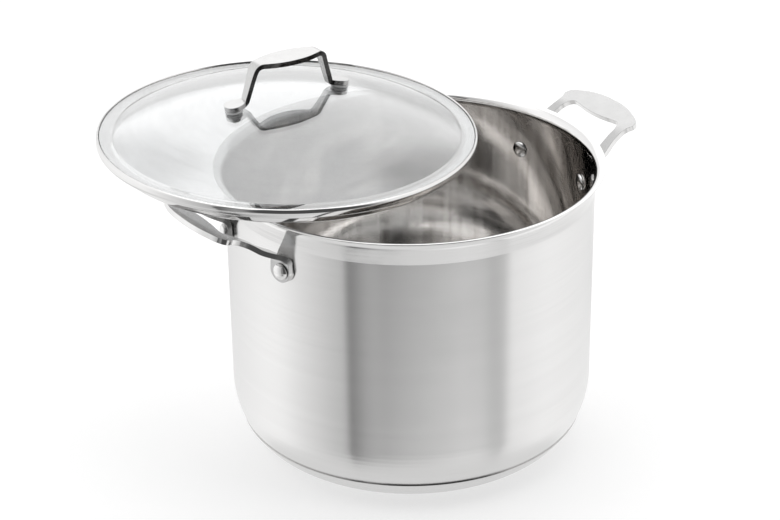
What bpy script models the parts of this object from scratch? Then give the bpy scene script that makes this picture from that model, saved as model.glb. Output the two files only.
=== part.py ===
"""Stainless water bath canner: an 11 litre stock pot with two cast loop handles and a glass lid.

Metres, +Z up. The origin is the centre of the pot's underside, the pot's axis is Z, and
the two loop handles point along +X and -X. The lid lies ajar across the rim.
"""
import math

import bmesh
import bpy
from mathutils import Matrix, Vector

MM = 0.001
GAP = 0.3 * MM                    # clearance between pieces that touch
MERGE = 0.00001

# Pot shell
BODY_R = 130 * MM                 # outside of the straight wall
POT_HEIGHT = 210 * MM             # underside of the base to the top of the lip
WALL = 1.0 * MM
LIP_R = 136.7 * MM                # outer edge of the flared pouring lip
CORNER_TOP = 47.5 * MM            # height at which the rounded corner meets the wall
SHELL_CORNER = 24 * MM            # how far the shell's corner reaches in from the wall
SHELL_BOTTOM = 7.9 * MM           # underside of the shell, on the base core

# Encapsulated base
CAP_CORNER = 35.9 * MM            # how far the cap's corner reaches in
CAP_FLAT_R = 95 * MM              # radius of the flat face that the pot stands on
CAP_TOP = 19.5 * MM               # height of the seam round the base
CAP_SKIN = 0.8 * MM
CORE_TOP = 10.5 * MM

# Cast pot handles, in the plane of each handle
CAST = 3.6 * MM                   # thickness of the casting
PAD_R = 8.2 * MM
RIVET_HEIGHT = 174.5 * MM
RIVET_ANGLE = math.radians(16.5)  # each side of the handle's middle
ARM_SLOPE = math.radians(38)
GRIP_SLOPE = math.radians(20.5)
ARM_ROOT_Z = 185.3 * MM           # where the arm's upper face would meet the wall
ARM_KNEE_X = 154.6 * MM           # where the arm's slope turns into the grip's
ARM_ROOT_BEND = 10 * MM
ARM_KNEE_BEND = 60 * MM
TWIST_START, TWIST_END = 16 * MM, 36 * MM   # along the arm, from wall tangent to square

# Rivets
SHANK_R = 2.6 * MM
RIVET_HOLE_R = 3.0 * MM
OUTER_HEAD = (5.9 * MM, 3.2 * MM)  # radius, height
INNER_HEAD = (6.0 * MM, 2.2 * MM)
INNER_HEAD_SEAT = 0.5 * MM         # in from the wall's inner face

# Lid, in its own frame: z = 0 is the top of its steel rim
LID_CENTRE = Vector((-59.8, 65.1, 225.5)) * MM
LID_LEAN = Vector((0.0220, -0.0230, 1.0))    # the lid's axis as it lies on the rim
RIM_R = 134.5 * MM
RIM_SHEET = 0.9 * MM
RIM_LIP = 2.7 * MM                # how far the rim wraps over the glass
RIM_SIDE = 6.4 * MM               # height of the rim's outer side
SKIRT_R = 125.4 * MM              # ring that drops inside the pot's mouth
SKIRT_BOTTOM = -13.9 * MM
HEM = 1.6 * MM
GLASS_R = 133.25 * MM
GLASS = 4.0 * MM
GLASS_TOP = -1.2 * MM
DOME_EDGE_R = 123 * MM
DOME_HEIGHT = 27.5 * MM
GLASS_HOLE_R = 3.4 * MM

# Lid handle: a bent flat casting with a wide grip and two round feet
LID_HANDLE_TURN = math.radians(2.4)
STRAP = 3.5 * MM
FOOT_REACH = 44 * MM              # screw centre from the lid's axis
FOOT_R = 6.6 * MM
GRIP_TOP = 32.2 * MM              # above the glass under the feet
GRIP_HALF = 27.5 * MM
LEG_FOOT = 33.6 * MM
SEAL = 1.6 * MM                   # silicone washer each side of the glass
FOOT_SEAL_R = 6.3 * MM
GLASS_SEAL_R = 5.4 * MM
SCREW_R = 2.0 * MM
SCREW_DEPTH = 2.6 * MM            # how far the screw enters the foot
SCREW_HEAD = (3.6 * MM, 2.2 * MM)
WASHER = (4.8 * MM, 1.0 * MM)

BIG_STEPS = 60
SMALL_STEPS = 16


def clear_scene():
    for obj in list(bpy.data.objects):
        bpy.data.objects.remove(obj, do_unlink=True)


def new_collection(name):
    group = bpy.data.collections.new(name)
    bpy.context.scene.collection.children.link(group)
    return group


def material(name, color, roughness, metallic, transmission=0.0):
    made = bpy.data.materials.new(name)
    made.use_nodes = True
    shader = made.node_tree.nodes["Principled BSDF"]
    shader.inputs["Base Color"].default_value = (*color, 1.0)
    shader.inputs["Roughness"].default_value = roughness
    shader.inputs["Metallic"].default_value = metallic
    shader.inputs["Transmission Weight"].default_value = transmission
    made.diffuse_color = (*color, 1.0)
    return made


def place(obj, group, finish, parent=None, matrix=None):
    group.objects.link(obj)
    if finish:
        obj.data.materials.append(finish)
    if matrix is not None:
        obj.matrix_basis = matrix
    if parent:
        obj.parent = parent
    return obj


def arc(centre, radii, start, end, count):
    """Points on an ellipse's arc in the profile plane, from start to end in degrees."""
    points = []
    for i in range(count + 1):
        angle = math.radians(start + (end - start) * i / count)
        points.append((centre[0] + radii[0] * math.cos(angle), centre[1] + radii[1] * math.sin(angle)))
    return points


def turned(name, profile, closed=False, steps=BIG_STEPS):
    """A profile of (radius, height) points turned about Z by a Screw modifier."""
    mesh = bpy.data.meshes.new(name)
    edges = [(i, i + 1) for i in range(len(profile) - 1)]
    if closed:
        edges.append((len(profile) - 1, 0))
    mesh.from_pydata([(r, 0, z) for r, z in profile], edges, [])
    obj = bpy.data.objects.new(name, mesh)
    screw = obj.modifiers.new("Turn", "SCREW")
    screw.axis = "Z"
    screw.steps = screw.render_steps = steps
    screw.use_merge_vertices = True
    screw.merge_threshold = MERGE
    screw.use_smooth_shade = True
    return obj


def cutter(name, radius, depth, matrix, group, steps=SMALL_STEPS):
    """A guide cylinder along the matrix's Z, centred on its origin."""
    shape = bmesh.new()
    bmesh.ops.create_cone(shape, cap_ends=True, segments=steps, radius1=radius, radius2=radius, depth=depth)
    mesh = bpy.data.meshes.new(name)
    shape.to_mesh(mesh)
    shape.free()
    obj = bpy.data.objects.new(name, mesh)
    group.objects.link(obj)
    obj.matrix_world = matrix
    obj.hide_render = True
    obj.display_type = "WIRE"
    return obj


def cut(obj, tool):
    boolean = obj.modifiers.new("Cut " + tool.name, "BOOLEAN")
    boolean.operation = "DIFFERENCE"
    boolean.solver = "EXACT"
    boolean.object = tool


def corner(reach, depth, top, count):
    """A corner's elliptical outline, from a height down to its lowest point.

    reach is how far it comes in from the wall, with its centre at CORNER_TOP, and depth
    is how far its lowest point lies below that centre.
    """
    centre = (reach[0], CORNER_TOP)
    start = -math.degrees(math.asin((CORNER_TOP - top) / depth))
    return arc(centre, (reach[1], depth), start, -90, count)


# ---------------------------------------------------------------- pot and base

def pot_shell():
    inner_r = BODY_R - WALL
    bend = LIP_R - inner_r
    lip_centre = (LIP_R, POT_HEIGHT - bend)
    corner_r = BODY_R - SHELL_CORNER
    drop = CORNER_TOP - SHELL_BOTTOM
    inner = corner((corner_r, SHELL_CORNER - WALL), drop - WALL, CORNER_TOP, 5)
    outer = corner((corner_r, SHELL_CORNER), drop, CORNER_TOP, 5)
    profile = [(0, SHELL_BOTTOM + WALL)] + inner[::-1]
    profile += arc(lip_centre, (bend, bend), 180, 90, 5)
    profile.append((LIP_R + WALL / 3, POT_HEIGHT - WALL / 2))
    profile += arc(lip_centre, (bend - WALL, bend - WALL), 90, 180, 4)
    profile += outer + [(0, SHELL_BOTTOM)]
    return turned("pot_shell", profile)


def base_cap():
    """The steel saucer that closes the core against the pot."""
    outer = corner((CAP_FLAT_R, CAP_CORNER), CORNER_TOP, CAP_TOP, 5)
    inner = corner((CAP_FLAT_R, CAP_CORNER - CAP_SKIN), CORNER_TOP - CAP_SKIN, CAP_TOP, 4)
    return turned("base_cap", [(0, CAP_SKIN)] + inner[::-1] + outer + [(0, 0)])


def base_core():
    """Aluminium disc between the shell and the cap, thinning up the corner."""
    floor = CAP_SKIN + GAP
    top = SHELL_BOTTOM - GAP
    outer = corner((CAP_FLAT_R, CAP_CORNER - CAP_SKIN - 2 * GAP), CORNER_TOP - floor, CORE_TOP, 4)
    inner = corner((BODY_R - SHELL_CORNER, SHELL_CORNER + GAP), CORNER_TOP - top, CORE_TOP, 2)
    return turned("base_core", [(0, top)] + inner[::-1] + outer + [(0, floor)])


# ---------------------------------------------------------------- pot handles

class BentPath:
    """A path of straight runs joined by arcs, read by the distance along it."""

    def __init__(self, corners, bends):
        self.pieces = []
        start = Vector(corners[0])
        for i, bend in enumerate(bends):
            knee = Vector(corners[i + 1])
            into = (knee - Vector(corners[i])).normalized()
            away = (Vector(corners[i + 2]) - knee).normalized()
            turn = math.atan2(into.x * away.y - into.y * away.x, into.dot(away))
            tangent = bend * math.tan(abs(turn) / 2)
            self.pieces.append((start, into, (knee - into * tangent - start).length, 0.0))
            self.pieces.append((knee - into * tangent, into, bend * abs(turn), turn))
            start = knee + away * tangent
        last = Vector(corners[-1])
        self.pieces.append((start, (last - start).normalized(), (last - start).length, 0.0))

    def length(self):
        return sum(piece[2] for piece in self.pieces)

    def bend_stations(self, count):
        stations = []
        along = 0.0
        for _, _, length, turn in self.pieces:
            if turn:
                stations += [along + length * i / count for i in range(count + 1)]
            along += length
        return stations

    def at(self, distance):
        """Point and left-hand normal at a distance along the path."""
        for start, heading, length, turn in self.pieces:
            if distance <= length or (start, heading) == self.pieces[-1][:2]:
                break
            distance -= length
        if not turn:
            return start + heading * distance, Vector((-heading.y, heading.x))
        radius = length / turn
        swept = distance / radius
        side = Vector((-heading.y, heading.x))
        point = start + side * radius + (heading * math.sin(swept) - side * math.cos(swept)) * radius
        new = heading * math.cos(swept) + side * math.sin(swept)
        return point, Vector((-new.y, new.x))


def flat_outline(name, points, thickness, resolution):
    """A flat plate mesh from a closed smooth outline, thickness from z = 0 upwards."""
    curve = bpy.data.curves.new(name, "CURVE")
    curve.dimensions = "2D"
    curve.fill_mode = "BOTH"
    curve.extrude = thickness / 2
    spline = curve.splines.new("BEZIER")
    spline.bezier_points.add(len(points) - 1)
    for knot, (x, y) in zip(spline.bezier_points, points):
        knot.co = (x, y, thickness / 2)
        knot.handle_left_type = knot.handle_right_type = "AUTO"
    spline.use_cyclic_u = True
    spline.resolution_u = resolution
    guide = bpy.data.objects.new(name, curve)
    bpy.context.scene.collection.objects.link(guide)
    graph = bpy.context.evaluated_depsgraph_get()
    mesh = bpy.data.meshes.new_from_object(guide.evaluated_get(graph))
    bpy.data.objects.remove(guide, do_unlink=True)
    shape = bmesh.new()
    shape.from_mesh(mesh)
    bmesh.ops.remove_doubles(shape, verts=shape.verts, dist=MERGE)
    bmesh.ops.dissolve_limit(shape, angle_limit=math.radians(1), verts=shape.verts, edges=shape.edges)
    bpy.data.meshes.remove(mesh)
    return shape


def slice_across(shape, stations):
    """Cuts edge loops across a plate at the given y values, where it will bend."""
    for y in stations:
        everything = shape.verts[:] + shape.edges[:] + shape.faces[:]
        bmesh.ops.bisect_plane(shape, geom=everything, dist=MERGE, plane_co=(0, y, 0), plane_no=(0, 1, 0))


def finish_plate(name, shape, edge_radius):
    bmesh.ops.recalc_face_normals(shape, faces=shape.faces)
    mesh = bpy.data.meshes.new(name)
    shape.to_mesh(mesh)
    shape.free()
    obj = bpy.data.objects.new(name, mesh)
    bevel = obj.modifiers.new("Rounded edges", "BEVEL")
    bevel.width = edge_radius
    bevel.segments = 1
    bevel.limit_method = "ANGLE"
    bevel.angle_limit = math.radians(50)
    bevel.use_clamp_overlap = True
    for face in mesh.polygons:
        face.use_smooth = True
    mesh.set_sharp_from_angle(angle=math.radians(50))
    return obj


def arm_path():
    wall = BODY_R + GAP
    knee_z = ARM_ROOT_Z + (ARM_KNEE_X - wall) * math.tan(ARM_SLOPE)
    grip_run = 60 * MM
    end = (ARM_KNEE_X + grip_run * math.cos(GRIP_SLOPE), knee_z + grip_run * math.sin(GRIP_SLOPE))
    corners = [(wall, RIVET_HEIGHT - PAD_R), (wall, ARM_ROOT_Z), (ARM_KNEE_X, knee_z), end]
    return BentPath(corners, (ARM_ROOT_BEND, ARM_KNEE_BEND))


def handle_outline():
    """Half of the handle's flat pattern: across from its middle, and along from the pad's foot."""
    pad = BODY_R * math.sin(RIVET_ANGLE) / MM
    r = PAD_R / MM
    outer = [(0, 76.6), (14, 75.8), (28.5, 72.0), (37.6, 67.6), (40.0, 63.6), (38.2, 58.0),
             (38.4, 48), (40.2, 36), (42.6, 25), (pad + 0.97 * r, 1.3 * r)]
    foot = [(pad + r * math.cos(math.radians(a)), r + r * math.sin(math.radians(a)))
            for a in (-20, -55, -90, -125, -160)]
    inner = [(pad - 0.97 * r, 1.3 * r), (30.4, 25), (31.2, 36), (30.6, 47), (29.4, 55), (26.0, 59.4),
             (20.5, 59.6), (11, 58.4), (0, 57.8)]
    return outer, foot + inner


def handle_plate():
    outer, inner = handle_outline()
    right = outer[1:] + inner[:-1]
    left = [(-x, y) for x, y in reversed(right)]
    ring = [outer[0]] + right + [inner[-1]] + left
    return flat_outline("plate", [(x * MM, y * MM) for x, y in ring], CAST, 2)


def pot_handle(name):
    """The cast loop, bent from a flat pattern: pads on the wall, arms up and out to the grip."""
    path = arm_path()
    shape = handle_plate()
    twist = [TWIST_END + (TWIST_START - TWIST_END) * i / 3 for i in range(4)]
    slice_across(shape, path.bend_stations(4) + twist)
    for vert in shape.verts:
        across, along, depth = vert.co
        point, normal = path.at(along)
        ease = min(max((TWIST_END - along) / (TWIST_END - TWIST_START), 0), 1)
        ease = ease * ease * (3 - 2 * ease)
        tangent_x = BODY_R / math.cos(RIVET_ANGLE) - abs(across) * math.tan(RIVET_ANGLE)
        point = point - normal * depth
        vert.co = (point.x + ease * (tangent_x - BODY_R), across, point.y)
    return finish_plate(name, shape, 1.1 * MM)


def rivet(name):
    """Shank with a domed head at each end; local +Z points out of the pot."""
    outer_r, outer_h = OUTER_HEAD
    inner_r, inner_h = INNER_HEAD
    seat_out = BODY_R + 2 * GAP + CAST
    seat_in = BODY_R - WALL - INNER_HEAD_SEAT
    profile = arc((0, seat_out), (outer_r, outer_h), 90, 0, 4)
    profile += [(SHANK_R, seat_out), (SHANK_R, seat_in)]
    profile += arc((0, seat_in), (inner_r, inner_h), 0, -90, 4)
    return turned(name, profile, steps=SMALL_STEPS)


def outward(angle):
    """A frame whose Z points out of the pot at an angle, at the rivets' height."""
    return Matrix.Translation((0, 0, RIVET_HEIGHT)) @ Matrix.Rotation(angle, 4, "Z") @ Matrix.Rotation(
        math.pi / 2, 4, "Y")


# ---------------------------------------------------------------- lid

def dome_height(radius):
    """Height of the glass's top face over its edge, a shallow spherical cap."""
    sphere = (DOME_EDGE_R ** 2 + DOME_HEIGHT ** 2) / (2 * DOME_HEIGHT)
    return math.sqrt(sphere ** 2 - radius ** 2) - (sphere - DOME_HEIGHT)


def lid_glass():
    radii = [DOME_EDGE_R * i / 8 for i in range(9)]
    top = [(r, GLASS_TOP + dome_height(r)) for r in radii]
    edge = [(GLASS_R - 1 * MM, GLASS_TOP), (GLASS_R, GLASS_TOP - 1 * MM),
            (GLASS_R, GLASS_TOP - GLASS + 1 * MM), (GLASS_R - 1 * MM, GLASS_TOP - GLASS)]
    under = [(r, z - GLASS) for r, z in reversed(top)]
    return turned("lid_glass", top + edge + under)


def lid_rim():
    """Rolled steel band: wraps the glass edge, turns in below it and drops as a skirt."""
    sheet = RIM_SHEET
    round_r = 0.8 * MM
    outer = [(RIM_R - RIM_LIP, 0), (RIM_R - round_r, 0), (RIM_R, -round_r), (RIM_R, round_r - RIM_SIDE),
             (RIM_R - round_r, -RIM_SIDE), (SKIRT_R, -RIM_SIDE), (SKIRT_R, SKIRT_BOTTOM)]
    inner = [(SKIRT_R - HEM, SKIRT_BOTTOM), (SKIRT_R - HEM, SKIRT_BOTTOM + HEM),
             (SKIRT_R - sheet, sheet - RIM_SIDE), (RIM_R - sheet, sheet - RIM_SIDE),
             (RIM_R - sheet, -sheet), (RIM_R - RIM_LIP, -sheet)]
    return turned("lid_rim", outer + inner, closed=True)


def strap_path():
    """The strap's lower face from the middle of the grip to the tip of a foot, in (out, up)."""
    slope = FOOT_REACH / ((DOME_EDGE_R ** 2 + DOME_HEIGHT ** 2) / (2 * DOME_HEIGHT))
    foot_z = SEAL + 2 * GAP
    heel = (LEG_FOOT, foot_z + slope * (FOOT_REACH - LEG_FOOT))
    tip = (FOOT_REACH + FOOT_R + 4 * MM, foot_z - slope * (FOOT_R + 4 * MM))
    corners = [(0, GRIP_TOP - STRAP), (GRIP_HALF - STRAP / 2, GRIP_TOP - STRAP), heel, tip]
    return BentPath(corners, (4 * MM, 3 * MM)), slope


def foot_station(path):
    """Distance along the strap at which the screw's centre lies."""
    run = path.length()
    while path.at(run)[0].x > FOOT_REACH:
        run -= 0.1 * MM
    return run


def lid_handle():
    """Bent strap: wide lens-shaped grip, narrower legs, round feet."""
    path, _ = strap_path()
    screw = foot_station(path)
    half = [(0, 10.4), (9 * MM, 9.8), (18 * MM, 7.5), (25 * MM, 5.0), (31 * MM, 3.9),
            (44 * MM, 3.1), (52 * MM, 2.9), (screw - 8.5 * MM, 3.4), (screw - 4 * MM, 5.7)]
    side = [(wide * MM, along) for along, wide in half]
    side += [(FOOT_R * math.cos(math.radians(a)), screw + FOOT_R * math.sin(math.radians(a)))
             for a in (10, 40, 68)]
    quarter = side[1:]
    ring = [side[0]] + quarter + [(0, screw + FOOT_R)] + [(-x, y) for x, y in reversed(quarter)]
    ring += [(-side[0][0], 0)] + [(-x, -y) for x, y in quarter] + [(0, -screw - FOOT_R)]
    ring += [(x, -y) for x, y in reversed(quarter)]
    shape = flat_outline("strap", ring, STRAP, 1)
    stations = path.bend_stations(4)
    slice_across(shape, stations + [-y for y in stations])
    for vert in shape.verts:
        across, along, depth = vert.co
        point, normal = path.at(abs(along))
        point = point + normal * depth
        vert.co = (math.copysign(point.x, along), across, point.y)
    return finish_plate("lid_handle", shape, 1.1 * MM)


def seat_frame(side):
    """A frame on the glass under a foot, Z along the glass's normal."""
    _, slope = strap_path()
    height = GLASS_TOP + dome_height(FOOT_REACH)
    seat = Matrix.Translation((side * FOOT_REACH, 0, height)) @ Matrix.Rotation(side * slope, 4, "Y")
    return Matrix.Rotation(LID_HANDLE_TURN, 4, "Z") @ seat


def ring_profile(outer_r, inner_r, low, high):
    return [(outer_r, high), (outer_r, low), (inner_r, low), (inner_r, high)]


def lid_screw(name):
    """Pan-head screw from below, through the glass into the foot."""
    head_r, head_h = SCREW_HEAD
    seat = -GLASS - SEAL - WASHER[1] - 4 * GAP
    top = SEAL + 2 * GAP + SCREW_DEPTH - GAP
    profile = [(0, top), (SCREW_R - 0.4 * MM, top), (SCREW_R, top - 0.4 * MM), (SCREW_R, seat)]
    profile += [(head_r, seat), (head_r, seat - 0.5 * head_h)]
    profile += arc((0, seat - 0.5 * head_h), (head_r, 0.5 * head_h), -30, -90, 3)
    return turned(name, profile, steps=SMALL_STEPS)


def lid_frame():
    axis = LID_LEAN.normalized()
    turn = Vector((0, 0, 1)).rotation_difference(axis)
    frame = bpy.data.objects.new("lid_frame", None)
    frame.matrix_world = Matrix.Translation(LID_CENTRE) @ turn.to_matrix().to_4x4()
    return frame


def build_pot(group, tools, steel, aluminium):
    shell = place(pot_shell(), group, steel)
    place(base_cap(), group, steel)
    place(base_core(), group, aluminium)
    for side, middle in (("right", 0.0), ("left", math.pi)):
        turn = Matrix.Rotation(middle, 4, "Z")
        handle = place(pot_handle("handle_" + side), group, steel, matrix=turn)
        for end, offset in (("a", -RIVET_ANGLE), ("b", RIVET_ANGLE)):
            out = outward(middle + offset)
            place(rivet(f"rivet_{side}_{end}"), group, steel, matrix=out)
            centre = out @ Matrix.Translation((0, 0, BODY_R))
            hole = cutter(f"rivet_hole_{side}_{end}", RIVET_HOLE_R, 24 * MM, centre, tools)
            cut(shell, hole)
            cut(handle, hole)


def build_lid(group, tools, steel, glass, silicone):
    frame = lid_frame()
    group.objects.link(frame)
    pane = place(lid_glass(), group, glass, frame)
    place(lid_rim(), group, steel, frame)
    raise_feet = Matrix.Translation((0, 0, GLASS_TOP + dome_height(FOOT_REACH)))
    strap = place(lid_handle(), group, steel, frame, Matrix.Rotation(LID_HANDLE_TURN, 4, "Z") @ raise_feet)
    for name, side in (("right", 1), ("left", -1)):
        seat = seat_frame(side)
        upper = ring_profile(FOOT_SEAL_R, SCREW_R + GAP, GAP, GAP + SEAL)
        lower = ring_profile(GLASS_SEAL_R, SCREW_R + GAP, -GLASS - GAP - SEAL, -GLASS - GAP)
        under = -GLASS - 2 * GAP - SEAL
        steel_ring = ring_profile(WASHER[0], SCREW_R + GAP, under - WASHER[1], under)
        place(turned(f"foot_seal_{name}", upper, True, SMALL_STEPS), group, silicone, frame, seat)
        place(turned(f"glass_seal_{name}", lower, True, SMALL_STEPS), group, silicone, frame, seat)
        place(turned(f"screw_washer_{name}", steel_ring, True, SMALL_STEPS), group, steel, frame, seat)
        place(lid_screw(f"lid_screw_{name}"), group, steel, frame, seat)
        world = frame.matrix_world @ seat
        cut(pane, cutter(f"glass_hole_{name}", GLASS_HOLE_R, 30 * MM, world, tools))
        blind = world @ Matrix.Translation((0, 0, SEAL + 2 * GAP + SCREW_DEPTH - 5 * MM))
        cut(strap, cutter(f"thread_hole_{name}", SCREW_R + GAP, 10 * MM, blind, tools))


def main():
    clear_scene()
    group = new_collection("water_bath_canner")
    tools = new_collection("cutters")
    steel = material("stainless_steel", (0.78, 0.77, 0.76), 0.16, 1.0)
    aluminium = material("aluminium", (0.66, 0.67, 0.68), 0.45, 1.0)
    glass = material("tempered_glass", (0.90, 0.93, 0.92), 0.02, 0.0, 1.0)
    silicone = material("grey_silicone", (0.40, 0.40, 0.40), 0.55, 0.0)
    build_pot(group, tools, steel, aluminium)
    build_lid(group, tools, steel, glass, silicone)


main()
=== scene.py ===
"""Looks for the water bath canner: fine meshes, finishes, camera and studio.

Everything is in metres in the CAD's frame: +Z up, the origin under the base, the two loop
handles along +X and -X, and the glass lid lying ajar across the rim towards -X and +Y.
"""
import math

import bmesh
import bpy
from mathutils import Matrix, Vector


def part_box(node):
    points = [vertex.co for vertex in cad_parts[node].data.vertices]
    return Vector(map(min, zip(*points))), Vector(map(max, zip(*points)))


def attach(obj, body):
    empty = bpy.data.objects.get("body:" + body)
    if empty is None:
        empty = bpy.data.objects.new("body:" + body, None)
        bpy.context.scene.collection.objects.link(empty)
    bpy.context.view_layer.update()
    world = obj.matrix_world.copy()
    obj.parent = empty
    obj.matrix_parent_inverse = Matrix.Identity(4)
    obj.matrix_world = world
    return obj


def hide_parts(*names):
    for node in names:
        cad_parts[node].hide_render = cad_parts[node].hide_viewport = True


MM = 0.001
MERGE = 0.00001

# Pot, as in the CAD
BODY_R = 130 * MM
WALL = 1.0 * MM
CORNER_TOP = 47.5 * MM
SHELL_CORNER = 24 * MM
SHELL_BOTTOM = 7.9 * MM
CAP_CORNER = 35.9 * MM
CAP_FLAT_R = 95 * MM
CAP_SKIN = 0.8 * MM
BAND_LOW = 192 * MM               # lower edge of the mirror band under the lip
# Painted shade and light on the polished inside, a dark ring and band at the corner and a lighter floor:
# pairs give where each fades in or out, or its two limits
RING_R = (101 * MM, 106 * MM)
RING_TOP = (20.5 * MM, 24.5 * MM)
# heights of a painted dark band above the ring; the steel has no groove there
SHADED_BAND = (31.5 * MM, 34.5 * MM)
SHADED_BAND_SHARE = 0.6
FLOOR_TOP = (9.5 * MM, 12 * MM)

# Cast pot handles
GAP = 0.3 * MM
CAST = 3.6 * MM
PAD_R = 8.2 * MM
RIVET_HEIGHT = 174.5 * MM
RIVET_ANGLE = math.radians(16.5)
ARM_SLOPE = math.radians(38)
GRIP_SLOPE = math.radians(20.5)
ARM_ROOT_Z = 185.3 * MM
ARM_KNEE_X = 154.6 * MM
ARM_ROOT_BEND = 10 * MM
ARM_KNEE_BEND = 60 * MM
TWIST_START, TWIST_END = 16 * MM, 36 * MM     # up the pattern: the pads' lie along the wall fades out
SHANK_R = 2.6 * MM
OUTER_HEAD = (5.9 * MM, 3.2 * MM)
INNER_HEAD = (6.0 * MM, 2.2 * MM)
INNER_HEAD_SEAT = 0.5 * MM

# Lid, in its own frame: z = 0 is the top of its steel rim
LID_CENTRE = Vector((-59.8, 65.1, 225.5)) * MM
LID_LEAN = Vector((0.0220, -0.0230, 1.0))
RIM_R = 134.5 * MM
RIM_SHEET = 0.9 * MM
RIM_SIDE = 6.4 * MM
RIM_ROUND = 0.8 * MM
RIM_SHOULDER = 2.8 * MM
RIM_TUCK = 62                     # degrees up the shoulder's arc at which the band's lip ends
SKIRT_R = 125.4 * MM
SKIRT_BOTTOM = -13.9 * MM
HEM = 1.6 * MM
GLASS_R = 133.25 * MM
GLASS = 4.0 * MM
GLASS_TOP = -1.2 * MM
DOME_EDGE_R = 123 * MM
DOME_HEIGHT = 27.5 * MM
LID_HANDLE_TURN = math.radians(2.4)
STRAP = 3.5 * MM
FOOT_REACH = 44 * MM
FOOT_R = 6.6 * MM
GRIP_TOP = 32.2 * MM
GRIP_HALF = 27.5 * MM
LEG_FOOT = 33.6 * MM
SEAL = 1.6 * MM
FOOT_SEAL_R = 6.3 * MM
GLASS_SEAL_R = 5.4 * MM
SCREW_R = 2.0 * MM
SCREW_DEPTH = 2.6 * MM
SCREW_HEAD = (3.6 * MM, 2.2 * MM)
WASHER = (4.8 * MM, 1.0 * MM)

# Plates: the materials of their faces, sides and rounded edges, and the rounding itself
SATIN, SIDES, ROUNDED = 0, 1, 2
PLATE_EDGE = 1.1 * MM

# Flat sides in a full turn
BIG_STEPS = 256
SMALL_STEPS = 48

# Camera: seen from the front left, a little above the rim
VIEW_FROM = Vector((-0.7556, -1.1416, 0.8080))
VIEW_AT = Vector((-0.0121, 0.0080, 0.1318))
VIEW_ROLL = math.radians(0.744)
LENS = 98.43                      # mm, on a 36 mm sensor

# Studio: brightness of the room by bearing, in degrees to the right of the camera. Two big
# soft boxes stand left and right, with a shaded gap between them, and a third hangs behind.
SURROUND = [(-180, 0.96), (-145, 1.00), (-105, 1.14), (-90, 1.12), (-69, 0.86), (-50, 0.62),
            (-40.5, 0.52), (-39.5, 0.09), (-22, 0.48), (0, 0.71), (33, 0.99), (45, 0.96), (61.5, 0.60),
            (62.5, 0.96), (93, 1.10), (143, 1.02), (180, 0.96)]
BACK_BOX = 1.50
OVERHEAD = 1.60
TABLE = 0.80                      # the pale table, as it is reflected
STRIP = 0.08                      # shade between the table's edge and the foot of the boxes
# Where those lie: pairs of bearings in degrees, and of sines of the angle above level
STRIP_BEARINGS = (-22, 56)
STRIP_HEIGHTS = (-0.38, 0.96)
BACK_BOX_BEARINGS = (148, 160)
BACK_BOX_HEIGHTS = (0.20, 0.93)
OVERHEAD_HEIGHTS = (0.72, 0.90)
TABLE_EDGE = (-0.462, -0.424)
TABLE_BELOW = (-0.62, -0.74)


# ---------------------------------------------------------------- node helpers

class Nodes:
    """A short way to build a node tree."""

    def __init__(self, tree):
        self.tree = tree

    def add(self, kind, inputs=(), **settings):
        node = self.tree.nodes.new(kind)
        for key, value in settings.items():
            setattr(node, key, value)
        for key, value in dict(inputs).items():
            self.put(node.inputs[key], value)
        return node

    def put(self, socket, value):
        if isinstance(value, bpy.types.NodeSocket):
            self.tree.links.new(value, socket)
        else:
            socket.default_value = value

    def math(self, operation, a, b=0.0):
        return self.add("ShaderNodeMath", {0: a, 1: b}, operation=operation).outputs[0]

    def smooth(self, value, low, high, start=0.0, end=1.0):
        """Runs from start to end as value goes from low to high."""
        inputs = {"Value": value, "From Min": low, "From Max": high, "To Min": start, "To Max": end}
        return self.add("ShaderNodeMapRange", inputs, interpolation_type="SMOOTHSTEP").outputs[0]

    def noise(self, vector, scale, detail=3.0, roughness=0.55):
        inputs = {"Vector": vector, "Scale": scale, "Detail": detail, "Roughness": roughness}
        return self.add("ShaderNodeTexNoise", inputs).outputs["Fac"]

    def bump(self, height, strength, distance, normal=None):
        inputs = {"Height": height, "Strength": strength, "Distance": distance}
        if normal:
            inputs["Normal"] = normal
        return self.add("ShaderNodeBump", inputs).outputs["Normal"]

    def tint(self, fac, dark, light):
        """A colour between two, by fac. Each is a colour or a socket."""
        node = self.add("ShaderNodeMix", data_type="RGBA")
        self.put(node.inputs["Factor"], fac)
        for place, colour in ((6, dark), (7, light)):
            linked = isinstance(colour, bpy.types.NodeSocket)
            self.put(node.inputs[place], colour if linked else (*colour, 1.0))
        return node.outputs[2]

    def between(self, value, low, high, soft):
        """1 where value lies between two limits, with soft edges."""
        rise = self.smooth(value, low - soft, low + soft)
        fall = self.smooth(value, high - soft, high + soft, 1.0, 0.0)
        return self.math("MULTIPLY", rise, fall)

    def blend(self, share, first, second):
        """first where share is 0, second where it is 1."""
        mix = self.add("ShaderNodeMix", data_type="FLOAT")
        self.put(mix.inputs["Factor"], share)
        self.put(mix.inputs[2], first)
        self.put(mix.inputs[3], second)
        return mix.outputs[0]


def new_material(name):
    material = bpy.data.materials.new(name)
    material.use_nodes = True
    shader = material.node_tree.nodes["Principled BSDF"]
    return material, Nodes(material.node_tree), shader


def spun(nodes, along, across):
    """Coordinates for marks that run round Z: fine across them, long along them."""
    position = nodes.add("ShaderNodeTexCoord").outputs["Object"]
    split = nodes.add("ShaderNodeSeparateXYZ", {0: position})
    flat = nodes.add("ShaderNodeCombineXYZ", {"X": split.outputs["X"], "Y": split.outputs["Y"]})
    radius = nodes.add("ShaderNodeVectorMath", {0: flat.outputs[0]}, operation="LENGTH").outputs["Value"]
    run = nodes.math("ADD", radius, split.outputs["Z"])
    x = nodes.math("MULTIPLY", split.outputs["X"], along)
    y = nodes.math("MULTIPLY", split.outputs["Y"], along)
    z = nodes.math("MULTIPLY", run, across)
    return nodes.add("ShaderNodeCombineXYZ", {"X": x, "Y": y, "Z": z}).outputs[0], split.outputs["Z"]


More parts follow.
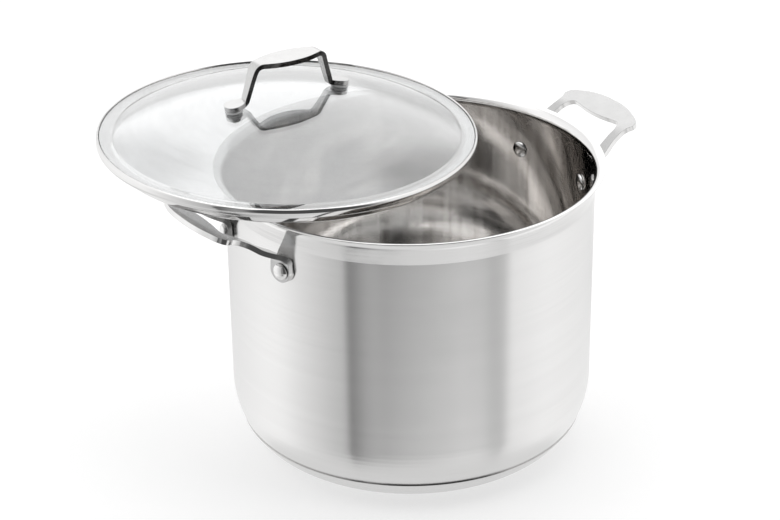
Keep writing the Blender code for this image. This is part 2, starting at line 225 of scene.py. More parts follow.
def smudges(nodes, scale, low=0.45, high=0.75):
    """Soft patches, 0 to 1, for handling marks."""
    position = nodes.add("ShaderNodeTexCoord").outputs["Object"]
    return nodes.smooth(nodes.noise(position, scale, 4.0, 0.6), low, high)


# ---------------------------------------------------------------- materials

def brushed_steel(name, light, dark, roughness=0.19):
    """Steel brushed round its axis: reflections smear up and down, with fine level grain."""
    material, nodes, shader = new_material(name)
    grain, _ = spun(nodes, 9.0, 900.0)
    fine = nodes.noise(grain, 1.0, 5.0, 0.7)
    wide, _ = spun(nodes, 4.0, 160.0)
    bands = nodes.noise(wide, 1.0, 3.0, 0.6)
    both = nodes.math("MULTIPLY_ADD", fine, 0.6)
    nodes.put(both.node.inputs[2], nodes.math("MULTIPLY", bands, 0.4))
    nodes.put(shader.inputs["Base Color"], nodes.tint(nodes.smooth(both, 0.3, 0.7), dark, light))
    rough = nodes.smooth(fine, 0.3, 0.7, roughness - 0.01, roughness + 0.01)
    worn = nodes.math("MULTIPLY", smudges(nodes, 11.0), 0.02)
    nodes.put(shader.inputs["Roughness"], nodes.math("SUBTRACT", rough, worn))
    nodes.put(shader.inputs["Normal"], nodes.bump(fine, 0.01, 0.0001))
    tangent = nodes.add("ShaderNodeTangent", direction_type="RADIAL", axis="Z").outputs[0]
    nodes.put(shader.inputs["Tangent"], tangent)
    shader.inputs["Metallic"].default_value = 1.0
    shader.inputs["Anisotropic"].default_value = 1.0
    shader.inputs["Anisotropic Rotation"].default_value = 0.25
    return material


def polished_steel(name, light, dark, roughness=0.06, grain=0.02, marks=1400.0):
    """Polished steel with faint lines left by the polishing wheel, and light smudges."""
    material, nodes, shader = new_material(name)
    lines, _ = spun(nodes, 14.0, marks)
    fine = nodes.noise(lines, 1.0, 4.0, 0.6)
    cloud = smudges(nodes, 26.0)
    nodes.put(shader.inputs["Base Color"], nodes.tint(nodes.smooth(fine, 0.3, 0.7), dark, light))
    rough = nodes.smooth(fine, 0.3, 0.7, roughness - grain, roughness + grain)
    rough = nodes.math("ADD", rough, nodes.math("MULTIPLY", cloud, 0.5 * roughness))
    nodes.put(shader.inputs["Roughness"], rough)
    nodes.put(shader.inputs["Normal"], nodes.bump(fine, 0.02, 0.0001))
    shader.inputs["Metallic"].default_value = 1.0
    return material


def corner_shade(nodes, position, height):
    """Painted shade: 1 in the dark ring at the foot of the inside corner, less in a painted dark band above
    it.
    """
    flat = nodes.add("ShaderNodeVectorMath", {0: position, 1: (1.0, 1.0, 0.0)}, operation="MULTIPLY")
    radius = nodes.add("ShaderNodeVectorMath", {0: flat.outputs[0]}, operation="LENGTH").outputs["Value"]
    outside = nodes.smooth(radius, *RING_R)
    ring_dark = nodes.math("MULTIPLY", outside, nodes.smooth(height, *RING_TOP, 1.0, 0.0))
    painted_band = nodes.math("MULTIPLY", outside, nodes.between(height, *SHADED_BAND, 0.001))
    return nodes.math("MAXIMUM", ring_dark, nodes.math("MULTIPLY", painted_band, SHADED_BAND_SHARE))


def drawn_steel(name):
    """The polished inside: painted shade round the corner, a painted lighter floor, and upright lines on the
    wall.
    """
    material, nodes, shader = new_material(name)
    rings, height = spun(nodes, 14.0, 700.0)
    fine = nodes.noise(rings, 1.0, 4.0, 0.6)
    position = nodes.add("ShaderNodeTexCoord").outputs["Object"]
    upright = nodes.add("ShaderNodeVectorMath", {0: position, 1: (90.0, 90.0, 5.0)}, operation="MULTIPLY")
    streaks = nodes.smooth(nodes.noise(upright.outputs[0], 1.0, 3.0, 0.6), 0.35, 0.65)
    colour = nodes.tint(streaks, (0.72, 0.705, 0.69), (0.86, 0.85, 0.84))
    # Painted light: the floor's steel is made lighter than the wall's.
    colour = nodes.tint(nodes.smooth(height, *FLOOR_TOP, 1.0, 0.0), colour, (0.96, 0.955, 0.95))
    # Painted shade: near-black steel in a ring at the foot of the corner and a band above it.
    colour = nodes.tint(corner_shade(nodes, position, height), colour, (0.34, 0.33, 0.32))
    nodes.put(shader.inputs["Base Color"], colour)
    rough = nodes.smooth(fine, 0.3, 0.7, 0.04, 0.07)
    nodes.put(shader.inputs["Roughness"], nodes.math("ADD", rough, nodes.math("MULTIPLY", streaks, 0.04)))
    nodes.put(shader.inputs["Normal"], nodes.bump(streaks, 0.02, 0.0002, nodes.bump(fine, 0.01, 0.0001)))
    shader.inputs["Metallic"].default_value = 1.0
    return material


def cast_steel(name, light, dark, roughness):
    """Tumbled casting: satin, with a faint pebble and slow waves left by the mould."""
    material, nodes, shader = new_material(name)
    position = nodes.add("ShaderNodeTexCoord").outputs["Object"]
    pebble = nodes.noise(position, 1500.0, 3.0, 0.6)
    waves = nodes.noise(position, 120.0, 2.0, 0.5)
    cloud = smudges(nodes, 60.0)
    nodes.put(shader.inputs["Base Color"], nodes.tint(nodes.smooth(waves, 0.3, 0.7), dark, light))
    rough = nodes.smooth(pebble, 0.3, 0.7, roughness - 0.04, roughness + 0.04)
    nodes.put(shader.inputs["Roughness"], nodes.math("SUBTRACT", rough, nodes.math("MULTIPLY", cloud, 0.05)))
    rippled = nodes.bump(waves, 0.03, 0.001)
    nodes.put(shader.inputs["Normal"], nodes.bump(pebble, 0.06, 0.0001, rippled))
    shader.inputs["Metallic"].default_value = 1.0
    return material


def lid_glass_material():
    """Tempered glass, faintly grey, with a bright surface film and light handling smudges."""
    material, nodes, shader = new_material("tempered_glass")
    cloud = smudges(nodes, 14.0, 0.35, 0.8)
    wiped, _ = spun(nodes, 30.0, 260.0)
    lines = nodes.noise(wiped, 1.0, 3.0, 0.6)
    nodes.put(shader.inputs["Base Color"],
              nodes.tint(nodes.smooth(lines, 0.3, 0.7), (0.58, 0.59, 0.595), (0.64, 0.65, 0.655)))
    nodes.put(shader.inputs["Transmission Weight"], nodes.smooth(cloud, 0.0, 1.0, 0.96, 0.90))
    shader.inputs["Roughness"].default_value = 0.0
    shader.inputs["IOR"].default_value = 1.5
    shader.inputs["Coat Weight"].default_value = 1.0
    shader.inputs["Coat Roughness"].default_value = 0.0
    shader.inputs["Coat IOR"].default_value = 2.35
    return material


def silicone(name):
    """Pale grey moulded silicone, matt and slightly gritty."""
    material, nodes, shader = new_material(name)
    position = nodes.add("ShaderNodeTexCoord").outputs["Object"]
    grit = nodes.noise(position, 2200.0, 3.0, 0.6)
    nodes.put(shader.inputs["Base Color"], nodes.tint(grit, (0.88, 0.88, 0.88), (0.95, 0.95, 0.95)))
    nodes.put(shader.inputs["Roughness"], nodes.smooth(grit, 0.3, 0.7, 0.42, 0.58))
    nodes.put(shader.inputs["Normal"], nodes.bump(grit, 0.2, 0.0001))
    return material


def rolled_aluminium(name):
    """Plain rolled sheet, with its grain along X."""
    material, nodes, shader = new_material(name)
    position = nodes.add("ShaderNodeTexCoord").outputs["Object"]
    along_x = {0: position, 1: (6.0, 500.0, 500.0)}
    stretched = nodes.add("ShaderNodeVectorMath", along_x, operation="MULTIPLY")
    grain = nodes.noise(stretched.outputs[0], 1.0, 4.0, 0.6)
    nodes.put(shader.inputs["Base Color"], nodes.tint(grain, (0.60, 0.61, 0.62), (0.72, 0.73, 0.74)))
    nodes.put(shader.inputs["Roughness"], nodes.smooth(grain, 0.3, 0.7, 0.38, 0.5))
    nodes.put(shader.inputs["Normal"], nodes.bump(grain, 0.1, 0.0001))
    shader.inputs["Metallic"].default_value = 1.0
    return material


# ---------------------------------------------------------------- shapes

def arc(centre, radii, start, end, count):
    """Points on an ellipse's arc in the profile plane, from start to end in degrees."""
    points = []
    for i in range(count + 1):
        angle = math.radians(start + (end - start) * i / count)
        points.append((centre[0] + radii[0] * math.cos(angle), centre[1] + radii[1] * math.sin(angle)))
    return points


def supported(profile, reach=0.4 * MM):
    """The profile with a point close to each end of its long runs, so that they shade flat."""
    points = [profile[0]]
    for near, far in zip(profile, profile[1:]):
        run = math.dist(near, far)
        if run > 8 * reach:
            for share in (reach / run, 1 - reach / run):
                points.append((near[0] + (far[0] - near[0]) * share, near[1] + (far[1] - near[1]) * share))
        points.append(far)
    return points


def settled(obj):
    """Replaces an object's modifiers by the mesh they make."""
    bpy.context.scene.collection.objects.link(obj)
    graph = bpy.context.evaluated_depsgraph_get()
    mesh = bpy.data.meshes.new_from_object(obj.evaluated_get(graph))
    old = obj.data
    obj.modifiers.clear()
    obj.data = mesh
    bpy.data.meshes.remove(old)
    mesh.name = obj.name
    return obj


def shaded(obj, angle=40):
    """Smooth shading, with edges sharper than the angle left hard."""
    obj.data.shade_smooth()
    obj.data.set_sharp_from_angle(angle=math.radians(angle))
    return obj


def turned(name, profile, closed=False, steps=BIG_STEPS):
    """A profile of (radius, height) points turned about Z."""
    mesh = bpy.data.meshes.new(name)
    points = supported(profile + profile[:1])[:-1] if closed else supported(profile)
    edges = [(i, i + 1) for i in range(len(points) - 1)]
    if closed:
        edges.append((len(points) - 1, 0))
    mesh.from_pydata([(r, 0, z) for r, z in points], edges, [])
    obj = bpy.data.objects.new(name, mesh)
    screw = obj.modifiers.new("Turn", "SCREW")
    screw.axis = "Z"
    screw.steps = screw.render_steps = steps
    screw.use_merge_vertices = True
    screw.merge_threshold = MERGE
    return shaded(settled(obj))


def corner(reach, depth, top, count):
    """A corner's elliptical outline, from a height down to its lowest point."""
    start = -math.degrees(math.asin((CORNER_TOP - top) / depth))
    return arc((reach[0], CORNER_TOP), (reach[1], depth), start, -90, count)


def paint(obj, finishes, pick):
    """Gives each face one of the finishes, by pick(face), or as its modifiers left it."""
    faces = obj.data.polygons
    zones = [pick(face) if pick else face.material_index for face in faces]
    obj.data.materials.clear()
    for finish in finishes:
        obj.data.materials.append(finish)
    faces.foreach_set("material_index", zones)


def seat(obj, body, node, finishes, pick=None, matrix=None):
    """Places a piece, paints it, and lets it stand for its CAD node."""
    paint(obj, finishes, pick)
    if matrix is not None:
        obj.matrix_world = matrix
    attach(obj, body)
    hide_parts(node)


# ---------------------------------------------------------------- pot

def pot_shell(lip_r, height):
    """The drawn pot: floor, rounded corner, straight wall and flared lip, in one sheet."""
    inner_r = BODY_R - WALL
    bend = lip_r - inner_r
    lip = (lip_r, height - bend)
    corner_r = BODY_R - SHELL_CORNER
    drop = CORNER_TOP - SHELL_BOTTOM
    inner = corner((corner_r, SHELL_CORNER - WALL), drop - WALL, CORNER_TOP, 18)
    outer = corner((corner_r, SHELL_CORNER), drop, CORNER_TOP, 18)
    profile = [(0, SHELL_BOTTOM + WALL)] + inner[::-1]
    profile += arc(lip, (bend, bend), 180, 90, 12)
    profile += arc((lip_r, height - WALL / 2), (WALL / 3, WALL / 2), 60, -60, 4)
    profile += arc(lip, (bend - WALL, bend - WALL), 90, 180, 12)
    profile += [(BODY_R, BAND_LOW)] + outer + [(0, SHELL_BOTTOM)]
    return turned("pot_body", profile)


def shell_zone(face):
    """0 brushed outside, 1 mirror band and lip, 2 polished inside."""
    centre, normal = face.center, face.normal
    faces_out = normal.x * centre.x + normal.y * centre.y > 0
    if centre.z > BAND_LOW and (faces_out or Vector((centre.x, centre.y)).length > BODY_R):
        return 1
    if faces_out or normal.z < -0.5:
        return 0
    return 2


def base_cap(top):
    """The steel saucer under the base, with two shallow pressed rings in its flat."""
    outer = corner((CAP_FLAT_R, CAP_CORNER), CORNER_TOP, top, 18)
    inner = corner((CAP_FLAT_R, CAP_CORNER - CAP_SKIN), CORNER_TOP - CAP_SKIN, top, 16)
    rings = []
    for r in (84 * MM, 30 * MM):
        rings += [(r + 1.2 * MM, 0)] + arc((r, 0), (0.8 * MM, 0.3 * MM), 0, 180, 6) + [(r - 1.2 * MM, 0)]
    return turned("base_cap_skin", [(0, CAP_SKIN)] + inner[::-1] + outer + rings + [(0, 0)])


def cap_zone(face):
    """0 brushed side, 1 spun underside with its rings."""
    return int(face.normal.z < -0.999 or face.center.z < 0.5 * MM)


class BentPath:
    """A path of straight runs joined by arcs, read by the distance along it."""

    def __init__(self, corners, bends):
        self.pieces = []
        start = Vector(corners[0])
        for i, bend in enumerate(bends):
            knee = Vector(corners[i + 1])
            into = (knee - Vector(corners[i])).normalized()
            away = (Vector(corners[i + 2]) - knee).normalized()
            turn = math.atan2(into.x * away.y - into.y * away.x, into.dot(away))
            tangent = bend * math.tan(abs(turn) / 2)
            self.pieces.append((start, into, (knee - into * tangent - start).length, 0.0))
            self.pieces.append((knee - into * tangent, into, bend * abs(turn), turn))
            start = knee + away * tangent
        last = Vector(corners[-1])
        self.pieces.append((start, (last - start).normalized(), (last - start).length, 0.0))

    def length(self):
        return sum(piece[2] for piece in self.pieces)

    def bend_stations(self, count):
        stations = []
        along = 0.0
        for _, _, length, turn in self.pieces:
            if turn:
                stations += [along + length * i / count for i in range(count + 1)]
            along += length
        return stations

    def at(self, distance):
        """Point and left-hand normal at a distance along the path."""
        for start, heading, length, turn in self.pieces:
            if distance <= length or (start, heading) == self.pieces[-1][:2]:
                break
            distance -= length
        if not turn:
            return start + heading * distance, Vector((-heading.y, heading.x))
        radius = length / turn
        swept = distance / radius
        side = Vector((-heading.y, heading.x))
        point = start + side * radius + (heading * math.sin(swept) - side * math.cos(swept)) * radius
        new = heading * math.cos(swept) + side * math.sin(swept)
        return point, Vector((-new.y, new.x))


def flat_outline(name, points, thickness, resolution):
    """A flat plate from a closed smooth outline, thickness from z = 0 upwards."""
    curve = bpy.data.curves.new(name, "CURVE")
    curve.dimensions = "2D"
    curve.fill_mode = "BOTH"
    curve.extrude = thickness / 2
    spline = curve.splines.new("BEZIER")
    spline.bezier_points.add(len(points) - 1)
    for knot, (x, y) in zip(spline.bezier_points, points):
        knot.co = (x, y, thickness / 2)
        knot.handle_left_type = knot.handle_right_type = "AUTO"
    spline.use_cyclic_u = True
    spline.resolution_u = resolution
    guide = bpy.data.objects.new(name, curve)
    bpy.context.scene.collection.objects.link(guide)
    graph = bpy.context.evaluated_depsgraph_get()
    mesh = bpy.data.meshes.new_from_object(guide.evaluated_get(graph))
    bpy.data.objects.remove(guide, do_unlink=True)
    shape = bmesh.new()
    shape.from_mesh(mesh)
    bmesh.ops.remove_doubles(shape, verts=shape.verts, dist=MERGE)
    bmesh.ops.dissolve_limit(shape, angle_limit=math.radians(0.4), verts=shape.verts, edges=shape.edges)
    bpy.data.meshes.remove(mesh)
    shape.normal_update()
    for face in shape.faces:
        face.material_index = SIDES if abs(face.normal.z) < 0.5 else SATIN
    return shape


def slice_across(shape, stations):
    """Cuts edge loops across a plate at the given y values, where it will bend."""
    for y in stations:
        everything = shape.verts[:] + shape.edges[:] + shape.faces[:]
        bmesh.ops.bisect_plane(shape, geom=everything, dist=MERGE, plane_co=(0, y, 0), plane_no=(0, 1, 0))


def finish_plate(name, shape, rounding):
    """Rounds the plate's edges, with the rounding in one of its three materials."""
    bmesh.ops.recalc_face_normals(shape, faces=shape.faces)
    mesh = bpy.data.meshes.new(name)
    shape.to_mesh(mesh)
    shape.free()
    for _ in (SATIN, SIDES, ROUNDED):
        mesh.materials.append(None)
    obj = bpy.data.objects.new(name, mesh)
    bevel = obj.modifiers.new("Rounded edges", "BEVEL")
    bevel.width = PLATE_EDGE
    bevel.segments = 4
    bevel.limit_method = "ANGLE"
    bevel.angle_limit = math.radians(50)
    bevel.use_clamp_overlap = True
    bevel.material = rounding
    weigh = obj.modifiers.new("Even shading", "WEIGHTED_NORMAL")
    weigh.keep_sharp = True
    mesh.shade_smooth()
    return settled(obj)


def arm_path():
    """The casting's inner face, up the wall and out along arm and grip, in (out, up)."""
    wall = BODY_R + GAP
    knee_z = ARM_ROOT_Z + (ARM_KNEE_X - wall) * math.tan(ARM_SLOPE)
    grip_run = 60 * MM
    end = (ARM_KNEE_X + grip_run * math.cos(GRIP_SLOPE), knee_z + grip_run * math.sin(GRIP_SLOPE))
    corners = [(wall, RIVET_HEIGHT - PAD_R), (wall, ARM_ROOT_Z), (ARM_KNEE_X, knee_z), end]
    return BentPath(corners, (ARM_ROOT_BEND, ARM_KNEE_BEND))


def handle_outline():
    """Half of the handle's flat pattern: across from its middle, and along from the pad's foot."""
    pad = BODY_R * math.sin(RIVET_ANGLE) / MM
    r = PAD_R / MM
    outer = [(0, 76.6), (14, 75.8), (28.5, 72.0), (37.6, 67.6), (40.0, 63.6), (38.2, 58.0),
             (38.4, 48), (40.2, 36), (42.6, 25), (pad + 0.97 * r, 1.3 * r)]
    foot = [(pad + r * math.cos(math.radians(a)), r + r * math.sin(math.radians(a)))
            for a in (-20, -55, -90, -125, -160)]
    inner = [(pad - 0.97 * r, 1.3 * r), (30.4, 25), (31.2, 36), (30.6, 47), (29.4, 55), (26.0, 59.4),
             (20.5, 59.6), (11, 58.4), (0, 57.8)]
    return outer, foot + inner


def pot_handle(name):
    """The cast loop, bent from a flat pattern: pads on the wall, arms up and out to the grip."""
    path = arm_path()
    outer, inner = handle_outline()
    right = outer[1:] + inner[:-1]
    ring = [outer[0]] + right + [inner[-1]] + [(-x, y) for x, y in reversed(right)]
    shape = flat_outline("plate", [(x * MM, y * MM) for x, y in ring], CAST, 8)
    twist = [TWIST_END + (TWIST_START - TWIST_END) * i / 12 for i in range(13)]
    slice_across(shape, path.bend_stations(16) + twist)
    for vert in shape.verts:
        across, along, depth = vert.co
        point, normal = path.at(along)
        ease = min(max((TWIST_END - along) / (TWIST_END - TWIST_START), 0), 1)
        ease = ease * ease * (3 - 2 * ease)
        tangent_x = BODY_R / math.cos(RIVET_ANGLE) - abs(across) * math.tan(RIVET_ANGLE)
        point = point - normal * depth
        vert.co = (point.x + ease * (tangent_x - BODY_R), across, point.y)
    return finish_plate(name, shape, ROUNDED)


def rivet(name):
    """Shank with a domed head at each end; local +Z points out of the pot."""
    outer_r, outer_h = OUTER_HEAD
    inner_r, inner_h = INNER_HEAD
    seat_out = BODY_R + 2 * GAP + CAST
    seat_in = BODY_R - WALL - INNER_HEAD_SEAT
    profile = arc((0, seat_out), (outer_r, outer_h), 90, 0, 14)
    profile += [(SHANK_R, seat_out), (SHANK_R, seat_in)]
    profile += arc((0, seat_in), (inner_r, inner_h), 0, -90, 14)
    return turned(name, profile, steps=SMALL_STEPS)


def outward(angle):
    """A frame whose Z points out of the pot at an angle, at the rivets' height."""
    return Matrix.Translation((0, 0, RIVET_HEIGHT)) @ Matrix.Rotation(angle, 4, "Z") @ Matrix.Rotation(
        math.pi / 2, 4, "Y")


# ---------------------------------------------------------------- lid

def dome_sphere():
    """Radius of the sphere that the glass's top face is part of."""
    return (DOME_EDGE_R ** 2 + DOME_HEIGHT ** 2) / (2 * DOME_HEIGHT)


def foot_slope():
    """Slope of the glass, in radians, under the handle's feet."""
    return FOOT_REACH / dome_sphere()


def dome_height(radius):
    """Height of the glass's top face over its edge, a shallow spherical cap."""
    sphere = dome_sphere()
    return math.sqrt(sphere ** 2 - radius ** 2) - (sphere - DOME_HEIGHT)


def lid_glass():
    """The domed pane, with a rounded edge."""
    radii = [DOME_EDGE_R * i / 40 for i in range(41)]
    top = [(r, GLASS_TOP + dome_height(r)) for r in radii]
    half = GLASS / 2
    edge = arc((GLASS_R - half, GLASS_TOP - half), (half, half), 90, -90, 12)
    under = [(r, z - GLASS) for r, z in reversed(top)]
    return turned("lid_pane", top + edge + under)


def lid_rim():
    """Rolled steel band: wraps the glass edge, turns in below it and drops as a skirt."""
    sheet = RIM_SHEET
    r = RIM_ROUND
    bead = HEM / 2
    shoulder = RIM_SHOULDER
    middle = (RIM_R - shoulder, -shoulder)
    outer = arc(middle, (shoulder, shoulder), RIM_TUCK, 0, 16)
    outer += arc((RIM_R - r, r - RIM_SIDE), (r, r), 0, -90, 6)
    outer += arc((SKIRT_R + r, -RIM_SIDE - r), (r, r), 90, 180, 6)
    outer += arc((SKIRT_R - bead, SKIRT_BOTTOM + bead), (bead, bead), 0, -180, 10)
    inner = [(SKIRT_R - HEM, SKIRT_BOTTOM + HEM), (SKIRT_R - sheet, SKIRT_BOTTOM + HEM + 0.6 * MM)]
    inner += arc((SKIRT_R + r, sheet - RIM_SIDE - r), (r + sheet, r), 180, 90, 6)
    inner += [(RIM_R - sheet, sheet - RIM_SIDE)]
    inner += arc(middle, (shoulder - sheet, shoulder - sheet), 0, RIM_TUCK, 12)
    return turned("lid_band", outer + inner, closed=True)


def strap_path():
    """The strap's lower face from the middle of the grip to the tip of a foot, in (out, up)."""
    slope = foot_slope()
    foot_z = SEAL + 2 * GAP
    heel = (LEG_FOOT, foot_z + slope * (FOOT_REACH - LEG_FOOT))
    tip = (FOOT_REACH + FOOT_R + 4 * MM, foot_z - slope * (FOOT_R + 4 * MM))
    corners = [(0, GRIP_TOP - STRAP), (GRIP_HALF - STRAP / 2, GRIP_TOP - STRAP), heel, tip]
    return BentPath(corners, (4 * MM, 3 * MM))


def foot_station(path):
    """Distance along the strap at which the screw's centre lies."""
    run = path.length()
    while path.at(run)[0].x > FOOT_REACH:
        run -= 0.1 * MM
    return run


def lid_handle():
    """Bent strap: wide lens-shaped grip, narrower legs, round feet."""
    path = strap_path()
    screw = foot_station(path)
    half = [(0, 10.4), (9 * MM, 9.8), (18 * MM, 7.5), (25 * MM, 5.0), (31 * MM, 3.9),
            (44 * MM, 3.1), (52 * MM, 2.9), (screw - 8.5 * MM, 3.4), (screw - 4 * MM, 5.7)]
    side = [(wide * MM, along) for along, wide in half]
    side += [(FOOT_R * math.cos(math.radians(a)), screw + FOOT_R * math.sin(math.radians(a)))
             for a in (10, 40, 68)]
    quarter = side[1:]
    ring = [side[0]] + quarter + [(0, screw + FOOT_R)] + [(-x, y) for x, y in reversed(quarter)]
    ring += [(-side[0][0], 0)] + [(-x, -y) for x, y in quarter] + [(0, -screw - FOOT_R)]
    ring += [(x, -y) for x, y in reversed(quarter)]
    shape = flat_outline("strap", ring, STRAP, 6)
    stations = path.bend_stations(14)
    slice_across(shape, stations + [-y for y in stations])
    for vert in shape.verts:
        across, along, depth = vert.co
        point, normal = path.at(abs(along))
        point = point + normal * depth
        vert.co = (math.copysign(point.x, along), across, point.y)
    return finish_plate("lid_grip", shape, SATIN)


def strap_zone(face):
    """0 satin, 1 the sides of the grip and legs, steel painted near-black as shade."""
    return int(face.material_index == SIDES and abs(face.center.x) < FOOT_REACH - FOOT_R)


def seat_frame(side):
    """A frame on the glass under a foot, Z along the glass's normal."""
    height = GLASS_TOP + dome_height(FOOT_REACH)
    lean = Matrix.Rotation(side * foot_slope(), 4, "Y")
    on_glass = Matrix.Translation((side * FOOT_REACH, 0, height)) @ lean
    return Matrix.Rotation(LID_HANDLE_TURN, 4, "Z") @ on_glass


def ring(name, outer_r, inner_r, low, high, edge=0.25 * MM):
    """A flat ring with rounded corners, for washers and seals."""
    profile = arc((outer_r - edge, high - edge), (edge, edge), 90, 0, 4)
    profile += arc((outer_r - edge, low + edge), (edge, edge), 0, -90, 4)
    profile += [(inner_r, low), (inner_r, high)]
    return turned(name, profile, True, SMALL_STEPS)


def lid_screw(name):
    """Pan-head screw from below, through the glass into the foot, with a cross recess."""
    head_r, head_h = SCREW_HEAD
    under = -GLASS - SEAL - WASHER[1] - 4 * GAP
    top = SEAL + 2 * GAP + SCREW_DEPTH - GAP
    profile = [(0, top), (SCREW_R - 0.4 * MM, top), (SCREW_R, top - 0.4 * MM), (SCREW_R, under)]
    profile += [(head_r, under), (head_r, under - 0.5 * head_h)]
    profile += arc((0, under - 0.5 * head_h), (head_r, 0.5 * head_h), -12, -90, 10)
    screw = turned(name, profile, steps=SMALL_STEPS)
    for slot in ((3.8 * MM, 0.8 * MM), (0.8 * MM, 3.8 * MM)):
        screw = recessed(screw, (*slot, 2.6 * MM), (0, 0, under - head_h))
    return shaded(screw, 30)


def recessed(obj, size, centre):
    """Cuts a box out of an object."""
    shape = bmesh.new()
    bmesh.ops.create_cube(shape, size=1.0, matrix=Matrix.Translation(centre) @ Matrix.Diagonal((*size, 1.0)))
    mesh = bpy.data.meshes.new("recess")
    shape.to_mesh(mesh)
    shape.free()
    tool = bpy.data.objects.new("recess", mesh)
    bpy.context.scene.collection.objects.link(tool)
    cut = obj.modifiers.new("Recess", "BOOLEAN")
    cut.operation = "DIFFERENCE"
    cut.solver = "EXACT"
    cut.object = tool
    bpy.context.scene.collection.objects.unlink(obj)
    settled(obj)
    bpy.data.objects.remove(tool, do_unlink=True)
    return obj


# ---------------------------------------------------------------- assembly

def build_pot():
    low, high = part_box("pot_shell")
    cap_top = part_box("base_cap")[1].z
    brushed = brushed_steel("brushed_steel", (0.82, 0.815, 0.81), (0.79, 0.785, 0.78))
    mirror = polished_steel("mirror_band", (0.84, 0.835, 0.83), (0.80, 0.795, 0.79), 0.11)
    inside = drawn_steel("polished_inside")
    bottom = polished_steel("spun_underside", (0.78, 0.775, 0.77), (0.66, 0.655, 0.65), 0.24, 0.06, 500.0)
    rivets = polished_steel("rivet_steel", (0.84, 0.835, 0.83), (0.78, 0.775, 0.77), 0.12, 0.02, 900.0)
    satin = cast_steel("satin_casting", (0.55, 0.548, 0.546), (0.53, 0.528, 0.526), 0.24)
    edge = cast_steel("polished_edge", (0.80, 0.795, 0.79), (0.76, 0.755, 0.75), 0.08)
    # The loops' rounded edges: steel painted near-black as shade.
    corners = cast_steel("painted_shade_edges", (0.26, 0.258, 0.256), (0.20, 0.198, 0.196), 0.10)
    shell = pot_shell(high.x - WALL / 3, high.z)
    seat(shell, "pot", "pot_shell", [brushed, mirror, inside], shell_zone)
    seat(base_cap(cap_top), "pot", "base_cap", [brushed, bottom], cap_zone)
    core_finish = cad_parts["base_core"].data.materials
    core_finish.clear()
    core_finish.append(rolled_aluminium("core_aluminium"))
    for side, middle in (("right", 0.0), ("left", math.pi)):
        loop = pot_handle("loop_handle_" + side)
        seat(loop, "pot", "handle_" + side, [satin, edge, corners],
             matrix=Matrix.Rotation(middle, 4, "Z"))
        for end, offset in (("a", -RIVET_ANGLE), ("b", RIVET_ANGLE)):
            name = f"rivet_{side}_{end}"
            seat(rivet("domed_" + name), "pot", name, [rivets],
                 matrix=outward(middle + offset))


def lid_matrix():
    """Where the lid lies: its centre across the rim, its axis leaning slightly."""
    turn = Vector((0, 0, 1)).rotation_difference(LID_LEAN.normalized())
    return Matrix.Translation(LID_CENTRE) @ turn.to_matrix().to_4x4()


def build_lid():
    lid = lid_matrix()
    mirror = polished_steel("rim_mirror", (0.82, 0.815, 0.81), (0.76, 0.755, 0.75), 0.07, 0.02, 1200.0)
    satin = cast_steel("satin_strap", (0.60, 0.597, 0.594), (0.58, 0.577, 0.574), 0.25)
    # The strap's sides: steel painted near-black as shade.
    edge = cast_steel("painted_shade_strap_sides", (0.10, 0.099, 0.098), (0.06, 0.059, 0.058), 0.10)
    bright = polished_steel("screw_steel", (0.82, 0.815, 0.81), (0.74, 0.735, 0.73), 0.18, 0.04, 1500.0)
    rubber = silicone("grey_silicone")
    seat(lid_glass(), "lid", "lid_glass", [lid_glass_material()], matrix=lid)
    seat(lid_rim(), "lid", "lid_rim", [mirror], matrix=lid)
    raise_feet = Matrix.Translation((0, 0, GLASS_TOP + dome_height(FOOT_REACH)))
    seat(lid_handle(), "lid", "lid_handle", [satin, edge], strap_zone,
         matrix=lid @ Matrix.Rotation(LID_HANDLE_TURN, 4, "Z") @ raise_feet)
    for name, side in (("right", 1), ("left", -1)):
        place = lid @ seat_frame(side)
        bore = SCREW_R + GAP
        upper = ring("foot_gasket_" + name, FOOT_SEAL_R, bore, GAP, GAP + SEAL)
        lower = ring("glass_gasket_" + name, GLASS_SEAL_R, bore, -GLASS - GAP - SEAL, -GLASS - GAP)
        under = -GLASS - 2 * GAP - SEAL
        washer = ring("steel_washer_" + name, WASHER[0], bore, under - WASHER[1], under)
        seat(upper, "lid", "foot_seal_" + name, [rubber], matrix=place)
        seat(lower, "lid", "glass_seal_" + name, [rubber], matrix=place)
        seat(washer, "lid", "screw_washer_" + name, [bright], matrix=place)
        screw = lid_screw("pan_screw_" + name)
        seat(screw, "lid", "lid_screw_" + name, [bright], matrix=place)


# ---------------------------------------------------------------- studio

def camera():
    """The main view, from the constants above."""
    data = bpy.data.cameras.new("camera")
    data.lens = LENS
    data.sensor_width = 36.0
    data.clip_start, data.clip_end = 0.05, 60.0
    obj = bpy.data.objects.new("camera", data)
    bpy.context.scene.collection.objects.link(obj)
    aim = (VIEW_AT - VIEW_FROM).to_track_quat("-Z", "Y").to_matrix().to_4x4()
    obj.matrix_world = Matrix.Translation(VIEW_FROM) @ aim @ Matrix.Rotation(-VIEW_ROLL, 4, "Z")
    bpy.context.scene.camera = obj


def floor():
    """A pale lit table. Its reflections come from the room, so that they stay soft."""
    shape = bmesh.new()
    bmesh.ops.create_circle(shape, cap_ends=True, segments=96, radius=14.0)
    mesh = bpy.data.meshes.new("floor")
    shape.to_mesh(mesh)
    shape.free()
    obj = bpy.data.objects.new("floor", mesh)
    bpy.context.scene.collection.objects.link(obj)
    obj.visible_glossy = False
    material, _, shader = new_material("pale_table")
    shader.inputs["Base Color"].default_value = (0.55, 0.55, 0.55, 1.0)
    shader.inputs["Emission Color"].default_value = (1.0, 1.0, 1.0, 1.0)
    shader.inputs["Emission Strength"].default_value = 0.55
    shader.inputs["Roughness"].default_value = 0.9
    shader.inputs["Specular IOR Level"].default_value = 0.0
    mesh.materials.append(material)


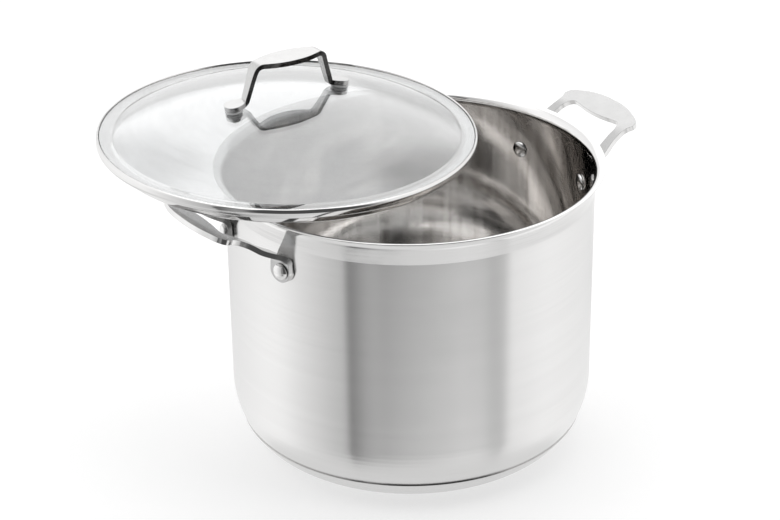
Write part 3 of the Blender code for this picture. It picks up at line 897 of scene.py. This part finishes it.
def surround(nodes, bearing):
    """The room's brightness round the horizon, from SURROUND."""
    share = nodes.math("ADD", nodes.math("DIVIDE", bearing, 360.0), 0.5)
    ramp = nodes.add("ShaderNodeValToRGB", {"Fac": share})
    stops = ramp.color_ramp.elements
    top = max(value for _, value in SURROUND)
    while len(stops) < len(SURROUND):
        stops.new(1.0)
    for stop, (degrees, value) in zip(stops, SURROUND):
        stop.position = (degrees + 180) / 360
        stop.color = (value / top, value / top, value / top, 1.0)
    return nodes.math("MULTIPLY", ramp.outputs["Color"], top)


def studio():
    """The room's light, as a function of direction: soft boxes above, the table below."""
    world = bpy.data.worlds.new("studio")
    world.use_nodes = True
    bpy.context.scene.world = world
    nodes = Nodes(world.node_tree)
    direction = nodes.add("ShaderNodeTexCoord").outputs["Generated"]
    camera_bearing = math.atan2(VIEW_FROM.y, VIEW_FROM.x)
    turn = nodes.add("ShaderNodeVectorRotate", {"Vector": direction, "Angle": -camera_bearing},
                     rotation_type="Z_AXIS")
    split = nodes.add("ShaderNodeSeparateXYZ", {0: turn.outputs[0]})
    angle = nodes.math("ARCTAN2", split.outputs["Y"], split.outputs["X"])
    bearing = nodes.math("MULTIPLY", angle, math.degrees(1))
    height = split.outputs["Z"]
    behind = nodes.smooth(nodes.math("ABSOLUTE", bearing), *BACK_BOX_BEARINGS)
    back_box = nodes.math("MULTIPLY", behind, nodes.between(height, *BACK_BOX_HEIGHTS, 0.08))
    room = nodes.blend(back_box, surround(nodes, bearing), BACK_BOX)
    room = nodes.blend(nodes.smooth(height, *OVERHEAD_HEIGHTS), room, OVERHEAD)
    room = nodes.blend(nodes.between(height, *TABLE_EDGE, 0.004), room, TABLE)
    room = nodes.blend(nodes.smooth(height, *TABLE_BELOW), room, TABLE)
    strip = nodes.math("MULTIPLY", nodes.between(height, *STRIP_HEIGHTS, 0.02),
                       nodes.between(bearing, *STRIP_BEARINGS, 8.0))
    background = world.node_tree.nodes["Background"]
    nodes.put(background.inputs["Strength"], nodes.blend(strip, room, STRIP))
    background.inputs["Color"].default_value = (1.0, 1.0, 1.0, 1.0)


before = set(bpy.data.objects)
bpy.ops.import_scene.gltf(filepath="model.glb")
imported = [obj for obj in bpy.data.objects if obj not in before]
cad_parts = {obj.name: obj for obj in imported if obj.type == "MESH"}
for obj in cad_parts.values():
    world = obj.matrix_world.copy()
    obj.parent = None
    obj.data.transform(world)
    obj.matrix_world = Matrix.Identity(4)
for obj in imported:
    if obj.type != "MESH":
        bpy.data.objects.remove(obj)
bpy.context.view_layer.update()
bpy.context.scene.view_settings.view_transform = "Standard"
bpy.context.scene.cycles.max_bounces = 16
bpy.context.scene.cycles.glossy_bounces = 10
build_pot()
build_lid()
camera()
floor()
studio()
